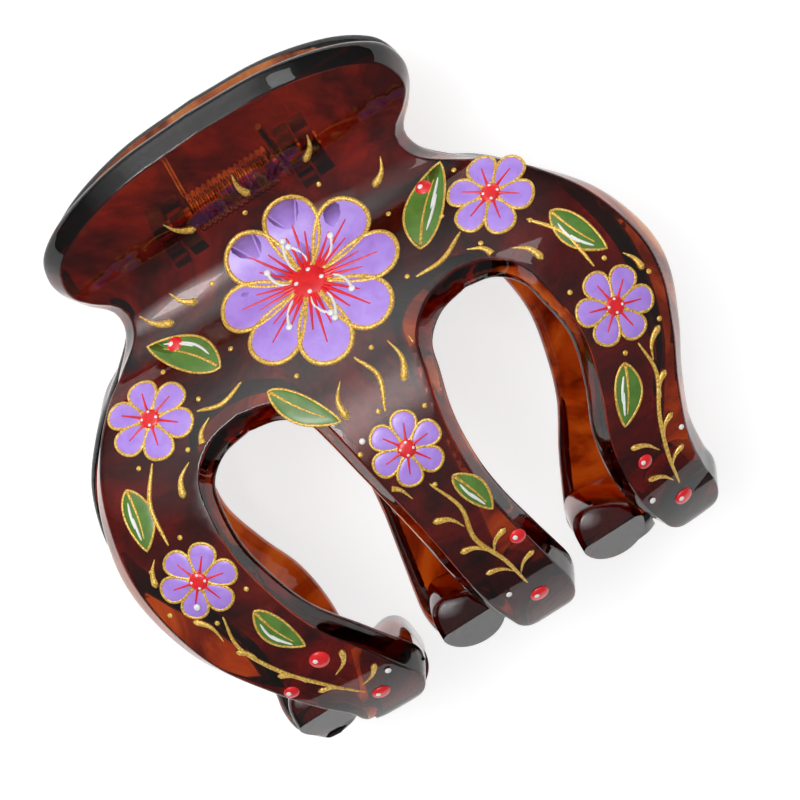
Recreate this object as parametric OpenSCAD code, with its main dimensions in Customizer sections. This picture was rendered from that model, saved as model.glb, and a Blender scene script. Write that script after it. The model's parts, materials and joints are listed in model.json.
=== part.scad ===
// Spring claw clip for hair, lying on its back jaw, in millimetres.
// X runs along the hinge pin, +Y points to the thumb plates, +Z points up out of the front jaw.
// The origin is the middle of the floor under the clip.
// Both jaws are one moulding. The back jaw is the front jaw turned half a turn about Y.

/* [Jaw side view] */
// Wall of the jaws at the prongs
wall = 4.2; // [3.8:0.1:4.4]
// Wall at the free edge of a thumb plate
plate_wall = 3.0; // [2.6:0.1:3.6]
// Straight length of a thumb plate, above the waist's bend
plate_len = 12; // [11:0.1:14]
// Lean of the thumb plates away from the middle plane
plate_lean = 34; // [32:1:38]
// Outer face of the waist to the middle plane
waist_z = 7; // [6.8:0.1:7.6]
// Hinge axis to the waist
waist_drop = 6; // [5.6:0.1:6.4]
// Outer radius of the waist
waist_r = 8; // [7:0.5:9]
// Lean of the shoulder where the waist ends
shoulder_lean = 50; // [46:1:52]
// Outer radius of the shoulder, down to the widest place
shoulder_r = 28; // [26:0.5:29]
// Outer radius of the prongs below the widest place
prong_r = 31; // [30:0.5:32]
// Inward lean of a prong where its tip starts to curl
curl_lean = 56; // [54:1:57]
// Outer radius of the curled tips
curl_r = 5; // [4.5:0.1:5.5]
// Half width of the jaws' flat middle, on which the clip can lie
flat_half = 6; // [4:1:8]
// Radius of the jaws' bow along the hinge axis, on both sides of the flat middle
bow_r = 64; // [60:2:90]

/* [Jaw edges] */
// Inset of the outer face from the outline, all around the jaw
bevel = 1.2; // [0.8:0.1:1.4]

/* [Teeth] */
// Width of the tooth inside each prong tip
tooth_w = 7.8; // [7:0.2:8]
// Reach of the teeth across the middle plane, between the other jaw's teeth
tooth_reach = 4.8; // [3:0.2:5.4]
// Lowest line of the teeth in front of the middle plane
tooth_keel = 1.7; // [0.5:0.1:2.5]
// Height of the teeth's round feet above the middle plane, where they end in the prongs
foot_top = 3.4; // [3:0.1:4]
// Room left around the other jaw's teeth
tooth_gap = 0.4; // [0.3:0.05:0.5]

/* [Hinge] */
// Diameter of the steel pin
pin_d = 2.0; // [1.8:0.1:2.1]
// Radial clearance of the pin in the lugs
pin_gap = 0.05; // [0.03:0.01:0.08]
// Outer radius of the hinge lugs
lug_r = 2.8; // [2.5:0.1:3]
// Thickness of one hinge lug
lug_w = 1.8; // [1.6:0.1:1.9]
// Diameter of the spring's wire
wire_d = 0.75; // [0.7:0.05:0.95]
// Turns of the spring that stay with the back jaw
turns = 15; // [10:1:16]
// Length of the spring's two legs
leg_len = 9; // [7:0.5:10]

/* [Hidden] */
$fn = 64;

plastic = [0.26, 0.06, 0.04];
steel = [0.75, 0.76, 0.78];

// Half of the outline of the thumb plate and the neck, laid flat: x across, s down from the waist
PLATE_TOP = [[0, -16.7], [9.3, -16.1], [16.8, -13.9], [21.4, -10.8], [22.9, -7.5]];
PLATE_END = [[22.9, -7.5], [22.7, -4.6], [21.1, -2.4], [19, -0.6]];

// Shoulders below the neck: s, x of the left edge, x of the right edge
SHOULDER = [
    [1.5, -19.4, 19.7],
    [4.0, -22.3, 22.9],
    [6.9, -25.3, 26.5],
    [12.2, -29.0, 30.4],
    [18.0, -31.7, 33.7]];

// Prongs: s, then x of the two edges of the left, the middle and the right prong
PRONGS = [
    [25.0, -33.4, -19.5, -6.0,  8.5, 21.6, 35.7],
    [30.5, -33.6, -19.8, -5.0,  7.2, 22.2, 35.5],
    [36.5, -32.6, -18.7, -4.0,  6.8, 20.7, 33.3],
    [42.0, -30.8, -17.0, -3.3,  7.2, 18.7, 30.7],
    [48.0, -27.6, -14.0, -2.8,  8.1, 17.8, 28.8],
    [54.0, -24.4, -11.6, -2.2,  8.9, 17.9, 28.4],
    [58.0, -22.2, -10.5, -1.5,  9.2, 18.6, 28.6]];

// Top of the gap left of the middle prong and of the one right of it: x, s
GAP_TOPS = [[-12.7, 19.0], [15.5, 18.3]];
// Ends of the left, the middle and the right prong: x, s
PRONG_ENDS = [[-15.4, 65.0], [4.6, 65.5], [24.2, 65.2]];
// Teeth inside the prong tips: x of the right side, y of the lowest point
TEETH = [[-10.6, -59.8], [8.1, -59.9], [27.3, -59.6]];
// Rounded top of a tooth, seen from the middle plane: x from its right side, y
TOOTH_TOP = [[0, -56], [-0.2, -53.8], [-0.9, -52.4], [-2.4, -51.8], [-4.9, -52.4], [-7, -53.8], [-7.8, -56]];
// Ridge across the end of a tooth, y, where the slope under its foot starts
RIDGE_IN = -55.6;

// Rounding of the jaw's edges: inset from the outline, depth as a share of the wall
RINGS = [[bevel, 0], [0, 0.62], [0.15, 0.82], [0.5, 0.95], [1.1, 1]];

// Mesh rows above the gaps, along the gaps and around the prong ends, and columns of one prong
ROWS_TOP = 17;
ROWS_GAP = 18;
ROWS_END = 5;
COLS = 4;
ROWS = ROWS_TOP + ROWS_GAP + ROWS_END;

// Where the rows change: level with the gaps' tops, and at the round ends
S_GAPS = 19.0;
S_ENDS = 62.2;

// Side view of the outer face, from the thumb plate's edge down: length, lean at its start and end
function bend(r, a, b) = [r * abs(b - a) * PI / 180, a, b];
END_LEAN = 100;
SIDE = [
    [plate_len, -plate_lean, -plate_lean],
    bend(waist_r, -plate_lean, 0),
    bend(waist_r, 0, shoulder_lean),
    bend(shoulder_r, shoulder_lean, 0),
    bend(prong_r, 0, -curl_lean),
    bend(curl_r, -curl_lean, -END_LEAN)];
S_WAIST = SIDE[0][0] + SIDE[1][0];
S_CURL = SIDE[2][0] + SIDE[3][0] + SIDE[4][0];
// Length of the straight inner face of a curled tip
CURL_IN = 3.2;

// Run of one stretch of the side view after the length s, as [y, z], and the lean there
function lean(g, s) = g[1] + (g[2] - g[1]) * s / g[0];
function run(g, s) =
    g[1] == g[2]
        ? s * [-cos(g[1]), sin(g[1])]
        : let (r = g[0] / ((g[2] - g[1]) * PI / 180), c = lean(g, s))
          r * [sin(g[1]) - sin(c), cos(g[1]) - cos(c)];
// Place after the length s from the plate's edge, as [y, z, lean]
function walk(s, i = 0, p = [0, 0]) =
    s <= SIDE[i][0] || i == len(SIDE) - 1
        ? concat(p + run(SIDE[i], s), lean(SIDE[i], s))
        : walk(s - SIDE[i][0], i + 1, p + run(SIDE[i], SIDE[i][0]));
WAIST = walk(S_WAIST);
// Outer face at s below the waist, as [y, z, lean], from the hinge axis
function outer(s) = walk(s + S_WAIST) + [-waist_drop - WAIST[0], waist_z - WAIST[1], 0];
function wall_at(s) = lookup(s, [[-16, plate_wall], [-6, wall - 0.3], [0, wall]]);
function beneath(s) =
    let (o = outer(s), t = wall_at(s))
    [o[0] - t * sin(o[2]), o[1] - t * cos(o[2])];
// Inner face at s, which runs straight on past the curl
function inner(s) =
    s <= S_CURL
        ? beneath(s)
        : let (e = (s - S_CURL) / (SIDE[5][0]) * CURL_IN)
          beneath(S_CURL) + e * [-cos(curl_lean), -sin(curl_lean)];

// How far the bow brings the jaw's faces back at x
function sag(x) = pow(max(abs(x) - flat_half, 0), 2) / (2 * bow_r);
// Point of the jaw at x and s of the outline laid flat, at a depth from 0, outside, to 1, inside
function place(p, depth) =
    let (o = outer(p[1]), i = inner(p[1]))
    [p[0],
     o[0] + (i[0] - o[0]) * depth,
     o[1] + (i[1] - o[1]) * depth - sag(p[0])];

// Smooth curve through points, with k steps between each pair
function curve(p, k = 8) = concat(
    [for (i = [0 : len(p) - 2], j = [0 : k - 1])
        let (b = p[i], c = p[i + 1], t = j / k,
             a = i == 0 ? 2 * b - c : p[i - 1],
             d = i == len(p) - 2 ? 2 * c - b : p[i + 2])
        (2 * b + (c - a) * t + (2 * a - 5 * b + 4 * c - d) * t * t
            + (3 * b - a - 3 * c + d) * t * t * t) / 2],
    [p[len(p) - 1]]);
// The same line in n equal steps
function even(p, n) =
    let (at = [for (i = 0, d = 0; i < len(p); i = i + 1, d = d + (i < len(p) ? norm(p[i] - p[i - 1]) : 0)) d],
         xs = [for (i = [0 : len(p) - 1]) [at[i], p[i][0]]],
         ss = [for (i = [0 : len(p) - 1]) [at[i], p[i][1]]],
         all = at[len(p) - 1])
    [for (j = [0 : n]) [lookup(all * j / n, xs), lookup(all * j / n, ss)]];
// The stretch of a line between two levels of s, and its rows
function stretch(p, from, to) = [for (q = p) if (q[1] >= from && q[1] <= to) q];
function lower_rows(p) = concat(
    even(stretch(p, -99, S_ENDS), ROWS_GAP),
    skip(even(stretch(p, S_ENDS, 99), ROWS_END)));
function skip(p) = [for (i = [1 : len(p) - 1]) p[i]];
function back(p) = [for (i = [len(p) - 1 : -1 : 0]) p[i]];

// Round end of prong k, from its edge on one side (-1 left, 1 right) to its end
function round_end(k, side) =
    let (row = PRONGS[len(PRONGS) - 1], tip = PRONG_ENDS[k],
         edge = row[2 * k + (side < 0 ? 1 : 2)])
    [for (a = [30, 60, 90]) [tip[0] + (edge - tip[0]) * cos(a), row[0] + (tip[1] - row[0]) * sin(a)]];
// Round top of gap k, from its top to its edge on one side
function round_top(k, side) =
    let (row = PRONGS[0], top = GAP_TOPS[k], edge = row[2 * k + (side < 0 ? 2 : 3)])
    [for (a = [0, 30, 60]) [top[0] + (edge - top[0]) * sin(a), row[0] - (row[0] - top[1]) * cos(a)]];
function prong_edge(column) = [for (r = PRONGS) [r[column], r[0]]];
function mirrored(p) = [for (q = p) [-q[0], q[1]]];

// The edges of the jaw laid flat
LEFT = curve(concat(mirrored(PLATE_END), [for (r = SHOULDER) [r[1], r[0]]], prong_edge(1), round_end(0, -1)));
RIGHT = curve(concat(PLATE_END, [for (r = SHOULDER) [r[2], r[0]]], prong_edge(6), round_end(2, 1)));
GAPS = [
    curve(concat(round_top(0, -1), prong_edge(2), round_end(0, 1))),
    curve(concat(round_top(0, 1), prong_edge(3), round_end(1, -1))),
    curve(concat(round_top(1, -1), prong_edge(4), round_end(1, 1))),
    curve(concat(round_top(1, 1), prong_edge(5), round_end(2, -1)))];
TOP = even(concat(back(skip(curve(mirrored(PLATE_TOP)))), curve(PLATE_TOP)), 3 * COLS);

function outer_rows(p) = concat(
    even(stretch(p, -99, S_GAPS), ROWS_TOP),
    skip(lower_rows(stretch(p, S_GAPS, 99))));
LEFT_ROWS = outer_rows(LEFT);
RIGHT_ROWS = outer_rows(RIGHT);
GAP_ROWS = [for (g = GAPS) lower_rows(g)];

// One closed outline: over the thumb plate, down the right edge, in and out of both gaps, up the left
OUTLINE = concat(
    TOP,
    skip(RIGHT_ROWS),
    skip(back(GAP_ROWS[3])), skip(GAP_ROWS[2]),
    skip(back(GAP_ROWS[1])), skip(GAP_ROWS[0]),
    skip(back(skip(LEFT_ROWS))));
N = len(OUTLINE);
INWARD = [for (j = [0 : N - 1])
    let (t = OUTLINE[(j + 1) % N] - OUTLINE[(j + N - 1) % N])
    [-t[1], t[0]] / norm(t)];

// Index on the outline of each edge's row
ROWS_LOW = ROWS_GAP + ROWS_END;
AT_RIGHT_END = 3 * COLS + ROWS;
AT_TOP_2 = AT_RIGHT_END + ROWS_LOW;
AT_MIDDLE_END = AT_TOP_2 + ROWS_LOW;
AT_TOP_1 = AT_MIDDLE_END + ROWS_LOW;
AT_LEFT_END = AT_TOP_1 + ROWS_LOW;
function left_index(j) = j == 0 ? 0 : AT_LEFT_END + ROWS - j;
function right_index(j) = 3 * COLS + j;
function gap_index(g, j) =
    let (r = j - ROWS_TOP)
    g == 0 ? AT_TOP_1 + r : g == 1 ? AT_TOP_1 - r : g == 2 ? AT_TOP_2 + r : AT_TOP_2 - r;

// Index on the outline of row j, column i of prong k, or -1 inside it
function edge_index(k, j, i) =
    j == 0 ? k * COLS + i
    : j == ROWS ? [AT_LEFT_END, AT_MIDDLE_END, AT_RIGHT_END][k]
    : k == 0 && i == 0 ? left_index(j)
    : k == 2 && i == COLS ? right_index(j)
    : j < ROWS_TOP || (i > 0 && i < COLS) ? -1
    : gap_index(i == 0 ? 2 * k - 1 : 2 * k, j);

function inset(j, by) = OUTLINE[j] + by * INWARD[j];
function seam(k, j, by) =
    inset(k * COLS, by) + (inset(k == 1 ? AT_TOP_1 : AT_TOP_2, by) - inset(k * COLS, by)) * j / ROWS_TOP;
// The side of prong k at row j, laid flat: above the gaps, the seam between two prongs
function side_point(k, j, right, by) =
    let (e = edge_index(k, j, right ? COLS : 0))
    e >= 0 ? inset(e, by) : seam(right ? k + 1 : k, j, by);
function flat_point(k, j, i, by) =
    let (l = side_point(k, j, false, by), r = side_point(k, j, true, by), u = i / COLS,
         l0 = side_point(k, 0, false, by), r0 = side_point(k, 0, true, by),
         lift = inset(k * COLS + i, by) - l0 - (r0 - l0) * u,
         fade = max(0, 1 - j / ROWS_TOP))
    l + (r - l) * u + lift * fade * fade;

// Points: the rings of the rounded edge, then the inside of the outer and of the inner face
RING_POINTS = [for (r = RINGS, j = [0 : N - 1]) place(inset(j, r[0]), r[1])];
FACE_POINTS = [for (side = [0, 1], k = [0 : 2], j = [1 : ROWS - 1], i = [0 : COLS])
    place(flat_point(k, j, i, side == 0 ? bevel : RINGS[len(RINGS) - 1][0]), side)];
function point_index(side, k, j, i) =
    let (e = edge_index(k, j, i), ring = side == 0 ? 0 : len(RINGS) - 1)
    e >= 0 ? ring * N + e
    : i == COLS ? point_index(side, k + 1, j, 0)
    : len(RINGS) * N + ((side * 3 + k) * (ROWS - 1) + j - 1) * (COLS + 1) + i;

RING_FACES = [for (r = [0 : len(RINGS) - 2], j = [0 : N - 1])
    let (a = r * N + j, b = r * N + (j + 1) % N)
    each [[b, a, a + N], [b, a + N, b + N]]];
FACE_FACES = [for (side = [0, 1], k = [0 : 2], j = [0 : ROWS - 1], i = [0 : COLS - 1])
    let (a = point_index(side, k, j, i), b = point_index(side, k, j, i + 1),
         c = point_index(side, k, j + 1, i + 1), d = point_index(side, k, j + 1, i))
    each (side == 0 ? [[a, b, c], [a, c, d]] : [[a, c, b], [a, d, c]])];

module shell() {
    polyhedron(points = concat(RING_POINTS, FACE_POINTS),
        faces = [for (f = concat(RING_FACES, FACE_FACES))
            if (f[0] != f[1] && f[1] != f[2] && f[2] != f[0]) f]);
}

// A tooth is a block on the inner side of a prong tip, with a rounded top towards the waist
// and a round foot towards the tip; the foot ends inside the prong, the top goes on
module tooth(k) {
    middle = TEETH[k][0] - tooth_w / 2;
    low = -56 - TEETH[k][1];
    top = [for (p = curve(TOOTH_TOP, 4)) [middle + (p[0] / 7.8 + 0.5) * tooth_w, p[1]]];
    foot = [for (a = [190 : 10 : 350]) [middle + tooth_w / 2 * cos(a), -56 + low * sin(a)]];
    difference() {
        translate([0, 0, -tooth_reach]) linear_extrude(tooth_reach + 7.5) polygon(concat(top, foot));
        translate([middle - 6, -66, foot_top - sag(middle)]) cube([12, 10.05, 9]);
    }
}
// What the slope under the foot of prong k takes away, below the keel and out to the tip
module foot_cut(k) {
    keel = TEETH[k][1];
    along_x(TEETH[k][0] - tooth_w / 2 - 8, 16) polygon([
        [keel, tooth_keel],
        [RIDGE_IN, -tooth_reach],
        [RIDGE_IN + 0.8, -tooth_reach - 1],
        [-66, -tooth_reach - 1],
        [-66, tooth_keel]]);
}

// Room for the other jaw's tooth k, which stands mirrored in x and reaches up past the middle plane
module room_for_tooth(k) {
    translate([-TEETH[k][0] - tooth_gap, -66, -tooth_reach - 2])
        cube([tooth_w + 2 * tooth_gap, 18, 2 * tooth_reach + 2 + tooth_gap]);
}

// Hinge lugs stand left and right of the spring, one nearer to it and one further out
spring_w = (turns + 1) * wire_d + 0.3;
lug_near = spring_w / 2 + 0.25;
lug_far = lug_near + lug_w + 0.2;
pin_len = 2 * (lug_far + lug_w) + 0.4;

module along_x(from, length) {
    translate([from, 0, 0]) rotate([90, 0, 90]) linear_extrude(length) children();
}
// Side view of a lug, [y, z], with its root inside the wall
module lug_shape() {
    circle(lug_r);
    polygon([[-1.98, -1.98], [-5.2, 4.4], [-3, 6.4], [0.8, 7.4], [2.65, 0.9]]);
}
module lugs() {
    along_x(lug_near, lug_w) lug_shape();
    along_x(-lug_far - lug_w, lug_w) lug_shape();
}
module jaw() {
    color(plastic) difference() {
        union() {
            shell();
            lugs();
            for (k = [0 : 2]) tooth(k);
        }
        for (k = [0 : 2]) {
            foot_cut(k);
            room_for_tooth(k);
        }
        along_x(-40, 80) circle(pin_d / 2 + pin_gap);
    }
}

module pin() {
    chamfer = 0.25;
    color(steel) translate([-pin_len / 2, 0, 0]) rotate([0, 90, 0]) rotate_extrude()
        polygon([[0, 0], [pin_d / 2 - chamfer, 0], [pin_d / 2, chamfer],
            [pin_d / 2, pin_len - chamfer], [pin_d / 2 - chamfer, pin_len], [0, pin_len]]);
}

// The spring lies turn against turn around the pin
coil_r = 1.75;
lap = 0.02;
module coil(from, count) {
    translate([from, 0, 0]) rotate([0, 90, 0]) rotate_extrude()
        for (i = [0 : count - 1]) translate([coil_r, (i + 0.5) * wire_d]) circle(wire_d / 2 + lap);
}
// A leg leaves the coil as a tangent and ends against the inner face of the thumb plate
leg_lean = 47;
module leg(x) {
    translate([x, -coil_r * sin(leg_lean), coil_r * cos(leg_lean)])
        rotate([-90 + leg_lean, 0, 0]) cylinder(d = wire_d, h = leg_len);
}
coil_from = -spring_w / 2;
module fixed_spring() {
    color(steel) {
        coil(coil_from, turns);
        rotate([0, 180, 0]) leg(-coil_from - wire_d / 2);
    }
}
module moving_spring() {
    color(steel) {
        coil(spring_w / 2 - wire_d - lap, 1);
        leg(spring_w / 2 - wire_d / 2 - lap);
    }
}

// Hinge axis above the floor and away from the middle of the clip's length
module at_hinge() {
    translate([0, hinge_y, hinge_z]) children();
}
deepest = max([for (p = RING_POINTS) p[2]]);
deepest_face = max([for (p = FACE_POINTS) p[2]]);
hinge_z = max(deepest, deepest_face);
furthest = max([for (p = RING_POINTS) p[1]]);
nearest = min(concat([for (p = RING_POINTS) p[1]], [for (p = FACE_POINTS) p[1]], [for (t = TEETH) t[1]]));
hinge_y = -(furthest + nearest) / 2;

module jaw_back() at_hinge() rotate([0, 180, 0]) jaw();
module jaw_front() at_hinge() jaw();
module hinge_pin() at_hinge() pin();
module spring_coil() at_hinge() fixed_spring();
module spring_leg() at_hinge() moving_spring();

jaw_back();
hinge_pin();
spring_coil();
jaw_front();
spring_leg();
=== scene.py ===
# %% [markdown]
# # A painted claw clip in Blender
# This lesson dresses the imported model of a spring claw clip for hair. Two thick jaws of dark,
# see-through plastic turn on a steel pin, and a wound spring keeps them shut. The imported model
# already has every size and joint, so Blender's work is the surface: smooth jaws, the real
# winding of the spring, the brush-painted flowers and the light.

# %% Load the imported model
import json
import math

import bmesh
import bpy
import numpy as np
from mathutils import Matrix, Vector
from mathutils.geometry import delaunay_2d_cdt


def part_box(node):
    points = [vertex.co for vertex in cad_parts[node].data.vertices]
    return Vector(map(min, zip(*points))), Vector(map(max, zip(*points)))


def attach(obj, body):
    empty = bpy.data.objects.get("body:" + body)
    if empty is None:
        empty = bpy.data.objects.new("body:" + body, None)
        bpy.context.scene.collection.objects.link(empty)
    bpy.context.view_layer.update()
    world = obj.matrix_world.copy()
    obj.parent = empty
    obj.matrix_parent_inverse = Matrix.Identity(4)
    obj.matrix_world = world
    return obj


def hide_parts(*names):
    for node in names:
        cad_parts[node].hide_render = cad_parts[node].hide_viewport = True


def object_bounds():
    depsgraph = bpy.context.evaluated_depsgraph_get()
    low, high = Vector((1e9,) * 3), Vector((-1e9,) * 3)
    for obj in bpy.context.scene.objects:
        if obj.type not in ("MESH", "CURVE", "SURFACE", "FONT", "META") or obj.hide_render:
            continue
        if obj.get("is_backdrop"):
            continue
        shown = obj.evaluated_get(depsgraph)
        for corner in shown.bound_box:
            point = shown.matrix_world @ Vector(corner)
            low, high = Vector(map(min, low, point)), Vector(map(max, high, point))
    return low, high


MM = 0.001  # a millimetre in Blender's metres
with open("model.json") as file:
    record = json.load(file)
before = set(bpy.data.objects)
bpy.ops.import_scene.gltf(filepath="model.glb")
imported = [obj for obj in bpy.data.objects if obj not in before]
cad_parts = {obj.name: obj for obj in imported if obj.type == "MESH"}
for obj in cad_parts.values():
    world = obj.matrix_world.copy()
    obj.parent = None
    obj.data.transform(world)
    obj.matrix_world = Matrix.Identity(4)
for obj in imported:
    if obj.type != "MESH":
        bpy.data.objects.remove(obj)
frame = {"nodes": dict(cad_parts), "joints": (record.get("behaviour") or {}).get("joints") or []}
cad_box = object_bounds()
HINGE = Vector(frame["joints"][0]["pos_m"]) * 1000  # millimetres, as most sizes of the clip below

# %% [markdown]
# ## The side view of a jaw
# Seen from the side, a jaw is one long bent strip: a straight thumb plate, a tight waist, a
# shoulder, and a prong that curls in at its tip. It could be drawn point by point, but every
# stretch is an arc, so the lean of the strip changes evenly along it. Adding up small steps in
# the direction of the lean gives a face with no flat spots, which matters on a glossy part.

# %% Outer face as a run of arcs
PLATE_LEN, PLATE_LEAN = 12.0, 34
WAIST_Z, WAIST_DROP = 7.0, 6.0
FLAT_HALF, BOW_R = 6.0, 64.0
CURL_LEAN, CURL_IN = 56, 3.2
BACK_LEAN, TIP_LEAN = 50, -100
WALL_AT, WALL = [-16, -6, 0], [3.0, 3.9, 4.2]
ARCS = [  # radius, first lean, last lean
    (8.0, -PLATE_LEAN, 0), (8.0, 0, BACK_LEAN), (28.0, BACK_LEAN, 0),
    (31.0, 0, -CURL_LEAN), (5.0, -CURL_LEAN, TIP_LEAN),
]
lengths = [PLATE_LEN] + [r * math.radians(abs(b - a)) for r, a, b in ARCS]
knots = np.cumsum([0] + lengths) - lengths[0] - lengths[1]
S_CURL = knots[-2]

STEP, S_FIRST, S_LAST = 0.01, -24, 70
s_steps = np.arange(S_FIRST, S_LAST, STEP)
lean_knots = [-PLATE_LEAN] + [row[1] for row in ARCS] + [TIP_LEAN]
lean_steps = np.radians(np.interp(s_steps, knots, lean_knots))
y_steps = np.cumsum(-np.cos(lean_steps)) * STEP
z_steps = np.cumsum(np.sin(lean_steps)) * STEP
y_steps += -WAIST_DROP - np.interp(0, s_steps, y_steps)
z_steps += WAIST_Z - np.interp(0, s_steps, z_steps)


def outer_face(s):
    """y, z and lean of the outer face at the length s below the waist, from the hinge axis."""
    return [np.interp(s, s_steps, steps) for steps in (y_steps, z_steps, lean_steps)]


def wall(s):
    """Thickness at s; it thins towards the plate's rim."""
    return np.interp(s, WALL_AT, WALL)


def inner_face(s):
    """y and z of the inner face, which runs straight on past the curl of the tip."""
    y, z, lean = outer_face(np.minimum(s, S_CURL))
    past = np.maximum(s - S_CURL, 0) / lengths[-1] * CURL_IN
    curl = math.radians(CURL_LEAN)
    return (
        y - wall(s) * np.sin(lean) - past * math.cos(curl),
        z - wall(s) * np.cos(lean) - past * math.sin(curl),
    )


def sag(x):
    """How far the bow along the hinge brings the jaw back at x; the middle is flat."""
    return np.maximum(np.abs(x) - FLAT_HALF, 0) ** 2 / (2 * BOW_R)


def bent(x, s, depth):
    """Points of the jaw from the flat pattern: depth 0 is the outer face and 1 the inner one."""
    (y0, z0, _), (y1, z1) = outer_face(s), inner_face(s)
    return np.stack([x, y0 + (y1 - y0) * depth, z0 + (z1 - z0) * depth - sag(x)], -1)


print("the strip is", round(float(knots[-1] - knots[0]), 1), "mm long and curls from", round(S_CURL, 1), "mm")

# %% [markdown]
# ## The flat pattern
# Laid flat, the jaw is a sheet with a thumb plate, a neck, and three prongs with a keyhole gap
# on each side of the middle one. A handful of points per edge and a smooth curve through them
# give the outline. x runs across the jaw and s down it from the waist. A row of PRONGS holds s
# and then the x of both edges of the three prongs, from left to right.

# %% Edges of the pattern, in millimetres
PLATE_TOP = [(0, -16.7), (9.3, -16.1), (16.8, -13.9), (21.4, -10.8), (22.9, -7.5)]
PLATE_END = [(22.7, -4.6), (21.1, -2.4), (19, -0.6)]
SHOULDER = [
    (1.5, -19.4, 19.7), (4.0, -22.3, 22.9), (6.9, -25.3, 26.5), (12.2, -29.0, 30.4), (18.0, -31.7, 33.7),
]
PRONGS = [
    (25.0, -33.4, -19.5, -6.0, 8.5, 21.6, 35.7),
    (30.5, -33.6, -19.8, -5.0, 7.2, 22.2, 35.5),
    (36.5, -32.6, -18.7, -4.0, 6.8, 20.7, 33.3),
    (42.0, -30.8, -17.0, -3.3, 7.2, 18.7, 30.7),
    (48.0, -27.6, -14.0, -2.8, 8.1, 17.8, 28.8),
    (54.0, -24.4, -11.6, -2.2, 8.9, 17.9, 28.4),
    (58.0, -22.2, -10.5, -1.5, 9.2, 18.6, 28.6),
]
GAP_TOPS = [(-12.7, 19.0), (15.5, 18.3)]
PRONG_ENDS = [(-15.4, 65.0), (4.6, 65.5), (24.2, 65.2)]


def smooth_line(points, steps=24):
    """Curve through points: each piece leaves a point along the line between its neighbours."""
    p = np.array(points, float)
    p = np.vstack([2 * p[0] - p[1], p, 2 * p[-1] - p[-2]])
    t = np.arange(steps)[:, None] / steps
    out = []
    for a, b, c, d in zip(p, p[1:], p[2:], p[3:]):
        square, cube = (2 * a - 5 * b + 4 * c - d) * t**2, (3 * b - a - 3 * c + d) * t**3
        out.append((2 * b + (c - a) * t + square + cube) / 2)
    return np.vstack(out + [p[-2:-1]])


def even_line(line, gap):
    """The same line with its points about gap apart."""
    along = np.concatenate([[0], np.cumsum(np.linalg.norm(np.diff(line, axis=0), axis=1))])
    at = np.linspace(0, along[-1], max(2, round(along[-1] / gap)) + 1)
    return np.stack([np.interp(at, along, line[:, i]) for i in (0, 1)], -1)


def edge(column):
    """One long edge of a prong, down to where its end starts."""
    return [(row[column], row[0]) for row in PRONGS]


def round_end(k, column):
    """A quarter of an oval from a prong's edge to the middle of its end."""
    (x, s), start = PRONG_ENDS[k], PRONGS[-1]
    angles = [math.radians(a) for a in (30, 60, 90)]
    return [(x + (start[column] - x) * math.cos(a), start[0] + (s - start[0]) * math.sin(a)) for a in angles]


def round_top(k, column):
    """A quarter of an oval from the top of a gap to its edge."""
    (x, s), start = GAP_TOPS[k], PRONGS[0]
    angles = [math.radians(a) for a in (0, 30, 60)]
    return [(x + (start[column] - x) * math.sin(a), start[0] - (start[0] - s) * math.cos(a)) for a in angles]


mirror = [(-x, s) for x, s in PLATE_TOP + PLATE_END]
left = smooth_line(mirror + [(r[1], r[0]) for r in SHOULDER] + edge(1) + round_end(0, 1))
right = smooth_line(PLATE_TOP + PLATE_END + [(r[2], r[0]) for r in SHOULDER] + edge(6) + round_end(2, 6))
GAP_EDGES = [(0, 2, 0), (0, 3, 1), (1, 4, 1), (1, 5, 2)]  # gap, column, prong
gaps = [smooth_line(round_top(g, c) + edge(c) + round_end(k, c)) for g, c, k in GAP_EDGES]
runs = [right, gaps[3][::-1], gaps[2], gaps[1][::-1], gaps[0], left[::-1]]
OUTLINE_STEP = 0.6
pattern = np.vstack([even_line(run, OUTLINE_STEP)[:-1] for run in runs])
along = np.roll(pattern, -1, 0) - np.roll(pattern, 1, 0)
inward = np.stack([-along[:, 1], along[:, 0]], -1) / np.linalg.norm(along, axis=1)[:, None]
print("the pattern's outline has", len(pattern), "points")

# %% [markdown]
# ## From the pattern to a jaw
# The outer face ends in a fine rounded ridge, the side wall slopes out from it, and the inner
# edge is rounded over. All three are made of rings of the outline, each moved inwards and to its
# own depth. The two faces are filled with small triangles, and because every point is bent by the
# same formula, the triangles lie on the true curve. A subdivision surface would be quicker to
# type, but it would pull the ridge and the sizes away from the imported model.

# %% Rings, faces and the closed shell
EDGE = [  # how far in from the outline, depth in the wall
    (1.55, 0.0), (1.38, 0.004), (1.26, 0.025), (1.17, 0.07), (0.8, 0.24), (0.4, 0.43), (0.12, 0.57),
    (0.02, 0.66), (0.03, 0.74), (0.15, 0.84), (0.36, 0.92), (0.65, 0.97), (1.1, 1.0),
]


def inside(points, loop):
    """Which points lie inside a closed loop: a ray from each crosses it an odd number of times."""
    a, b = loop, np.roll(loop, -1, 0)
    x, y = points[:, 0][:, None], points[:, 1][:, None]
    crosses = (a[:, 1] > y) != (b[:, 1] > y)
    rise = np.where(b[:, 1] == a[:, 1], 1e-9, b[:, 1] - a[:, 1])
    return (crosses & (x < (b[:, 0] - a[:, 0]) * (y - a[:, 1]) / rise + a[:, 0])).sum(1) % 2 == 1


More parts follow.
